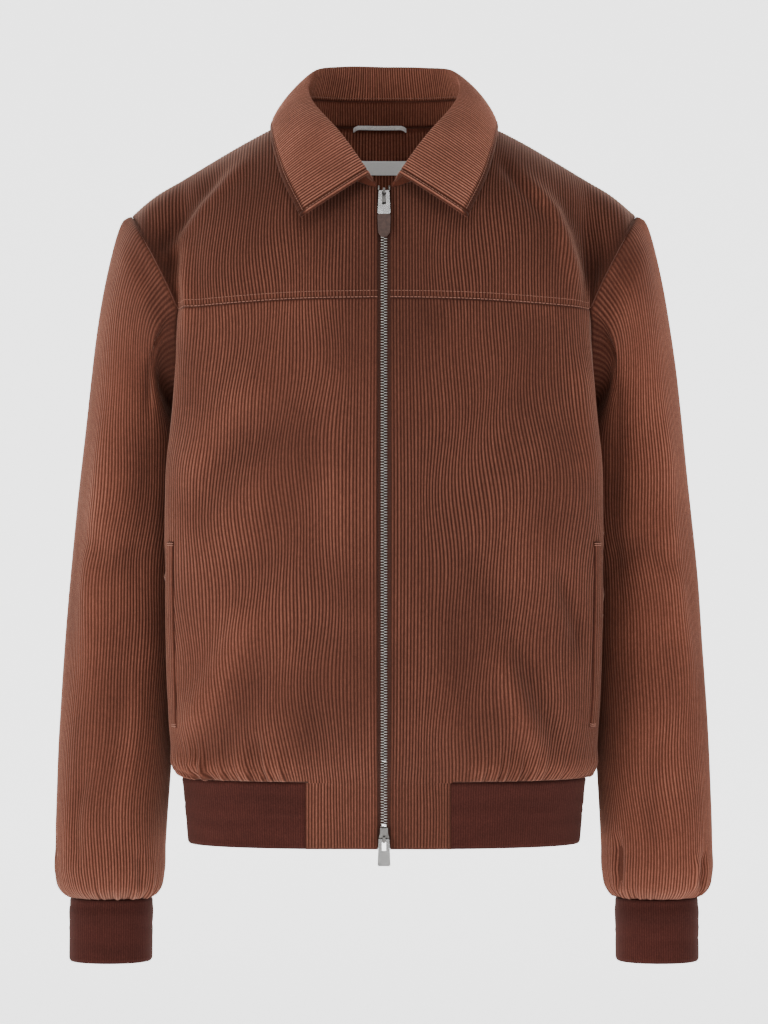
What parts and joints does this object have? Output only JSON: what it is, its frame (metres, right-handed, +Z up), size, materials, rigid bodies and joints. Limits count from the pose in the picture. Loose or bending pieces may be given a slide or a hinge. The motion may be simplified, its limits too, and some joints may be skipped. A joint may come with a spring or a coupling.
{
  "type": "zip jacket",
  "caption": "Hip-length corduroy jacket with a pointed fold-down collar, front yokes, two-way front zip, welt pockets, and ribbed hem and cuffs, filled out with no wearer.",
  "frame": {"origin": "middle of the neck at the height of the side neck points, where a hanger or a wearer's shoulders carry the jacket", "axes": "+Z up from the hem to the collar, -Y out of the zipped front, +X to the wearer's left"},
  "size_m": [0.5884, 0.2809, 0.8102],
  "materials": {
    "corduroy": "wide-wale cotton corduroy with a soft nap",
    "rib_knit": "fine dense rib knit",
    "zip_tape": "woven tape",
    "nickel": "bright nickel plate",
    "leather": "dark semi-matt leather",
    "label_weave": "plain woven label, bare",
    "loop_tape": "grosgrain tape"
  },
  "bodies": {
    "jacket": {"front_left": "corduroy", "front_right": "corduroy", "front_yoke_left": "corduroy", "front_yoke_right": "corduroy", "back": "corduroy", "sleeve_left": "corduroy", "sleeve_right": "corduroy", "hem_tab_left": "corduroy", "hem_tab_right": "corduroy", "collar_stand": "corduroy", "collar_leaf": "corduroy", "back_neck_facing": "corduroy", "pocket_welt_left": "corduroy", "pocket_welt_right": "corduroy", "hem_rib": "rib_knit", "cuff_left": "rib_knit", "cuff_right": "rib_knit", "zip_tape_left": "zip_tape", "zip_tape_right": "zip_tape", "zip_chain_left": "nickel", "zip_chain_right": "nickel", "zip_slider_top": "nickel", "zip_slider_bottom": "nickel", "neck_label": "label_weave", "hanger_loop": "loop_tape"},
    "top_pull": {"zip_pull_top": "nickel", "zip_tab_leather": "leather"},
    "bottom_pull": {"zip_pull_bottom": "nickel"}
  },
  "joints": [
    {"name": "top_pull_hinge", "type": "hinge", "parent": "jacket", "child": "top_pull", "pos_m": [0, -0.09361, -0.0625], "axis": [-1, 0, 0], "range_deg": [0, 150]},
    {"name": "bottom_pull_hinge", "type": "hinge", "parent": "jacket", "child": "bottom_pull", "pos_m": [0, -0.11655, -0.6255], "axis": [-1, 0, 0], "range_deg": [0, 150]}
  ]
}
